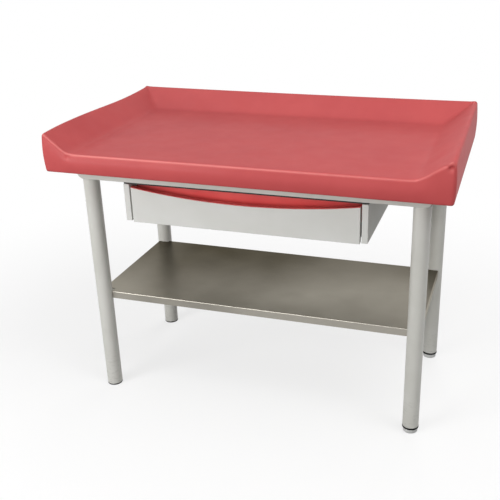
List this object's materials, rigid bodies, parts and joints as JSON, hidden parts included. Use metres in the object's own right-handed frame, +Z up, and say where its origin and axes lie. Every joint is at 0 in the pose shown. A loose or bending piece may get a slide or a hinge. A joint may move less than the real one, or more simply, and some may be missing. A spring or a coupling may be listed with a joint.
{
  "type": "examination table",
  "caption": "Examination table for small children with a red one-piece upholstered top raised on the left, right and rear, a steel frame on round legs, a drawer and a stainless shelf.",
  "frame": {"origin": "on the floor, under the middle of the upholstered top", "axes": "+X along the length, to the right of someone who stands at the open front; +Y from that front to the raised rear side; +Z up"},
  "size_m": [1.21, 0.704, 0.9003],
  "materials": {
    "cover": "wipe-clean coated leatherette, satin",
    "board": "raw plywood",
    "paint": "light warm grey powder coat, satin",
    "panel": "coated board in the frame's light warm grey, satin",
    "black": "moulded, matt",
    "foot": "moulded, matt",
    "steel": "brushed stainless",
    "hanger": "dark sheet, matt",
    "grip": "red, satin gloss",
    "box": "coated board, off-white",
    "zinc": "bright zinc plate"
  },
  "bodies": {
    "frame": {"pad": "cover", "pad_board": "board", "rail_front": "paint", "rail_rear": "paint", "rail_left": "paint", "rail_right": "paint", "rail_cap_front_left": "paint", "rail_cap_front_right": "paint", "rail_cap_rear_left": "paint", "rail_cap_rear_right": "paint", "leg_front_left": "paint", "leg_front_right": "paint", "leg_rear_left": "paint", "leg_rear_right": "paint", "shelf_lug_front_left": "paint", "shelf_lug_front_right": "paint", "shelf_lug_rear_left": "paint", "shelf_lug_rear_right": "paint", "housing_side_left": "panel", "housing_side_right": "panel", "housing_back": "panel", "plug_front_left": "black", "plug_rear_left": "black", "insert_front_right": "black", "insert_rear_right": "black", "shelf": "steel", "housing_hanger": "hanger", "runner_outer_left": "zinc", "runner_outer_right": "zinc"},
    "drawer": {"drawer_front": "panel", "drawer_grip": "grip", "drawer_side_left": "box", "drawer_side_right": "box", "drawer_back": "box", "drawer_floor": "box", "runner_inner_left": "zinc", "runner_inner_right": "zinc"},
    "runner_middle_left": {"runner_middle_left": "zinc"},
    "runner_middle_right": {"runner_middle_right": "zinc"},
    "foot_front_right": {"foot_front_right": "foot"},
    "foot_rear_right": {"foot_rear_right": "foot"}
  },
  "joints": [
    {"name": "drawer_slide", "type": "slide", "parent": "frame", "child": "drawer", "axis": [0, -1, 0], "range_m": [0, 0.38]},
    {"name": "runner_middle_left_slide", "type": "slide", "parent": "frame", "child": "runner_middle_left", "axis": [0, -1, 0], "range_m": [0, 0.19]},
    {"name": "runner_middle_right_slide", "type": "slide", "parent": "frame", "child": "runner_middle_right", "axis": [0, -1, 0], "range_m": [0, 0.19]},
    {"name": "foot_front_right_screw", "type": "slide", "parent": "frame", "child": "foot_front_right", "axis": [0, 0, -1], "range_m": [0, 0.012]},
    {"name": "foot_rear_right_screw", "type": "slide", "parent": "frame", "child": "foot_rear_right", "axis": [0, 0, -1], "range_m": [0, 0.012]}
  ],
  "couplings": [
    {"joint": "runner_middle_left_slide", "follows": "drawer_slide", "ratio": 0.5},
    {"joint": "runner_middle_right_slide", "follows": "drawer_slide", "ratio": 0.5}
  ]
}
